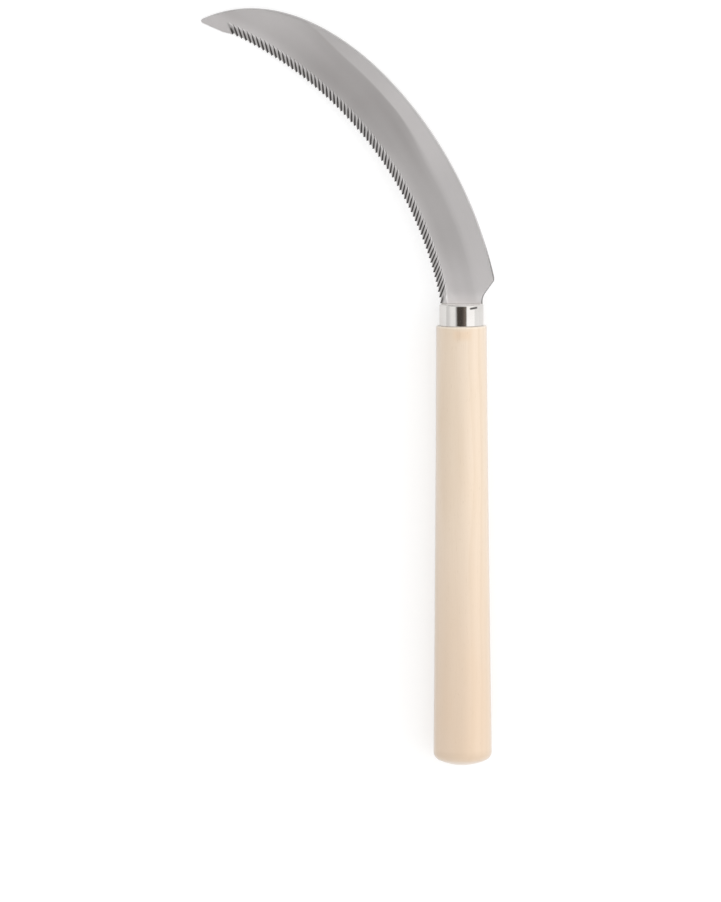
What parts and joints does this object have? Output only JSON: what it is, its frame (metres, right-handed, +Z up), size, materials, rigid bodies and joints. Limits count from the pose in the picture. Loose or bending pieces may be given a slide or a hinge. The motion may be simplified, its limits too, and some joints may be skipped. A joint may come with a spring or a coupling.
{
  "type": "serrated hand sickle",
  "caption": "Curved hand sickle with a serrated, hollow-ground steel blade, a polished metal ferrule and a turned pale wooden handle.",
  "frame": {"origin": "middle of the lying tool's footprint, on the ground that it lies on", "axes": "+Y runs from the handle to the blade, +Z is up with the ground and toothed face of the blade upwards, and the blade curves towards -X"},
  "size_m": [0.1171, 0.3054, 0.0238],
  "materials": {
    "blade_steel": "satin stainless steel, hollow-ground along the edge",
    "ferrule_metal": "bright polished plating",
    "handle_wood": "pale close-grained hardwood, sanded, with a thin clear finish",
    "pin_steel": "plain cut steel wire"
  },
  "bodies": {
    "root": {"blade": "blade_steel", "ferrule": "ferrule_metal", "handle": "handle_wood", "tang_pin": "pin_steel"}
  },
  "joints": []
}
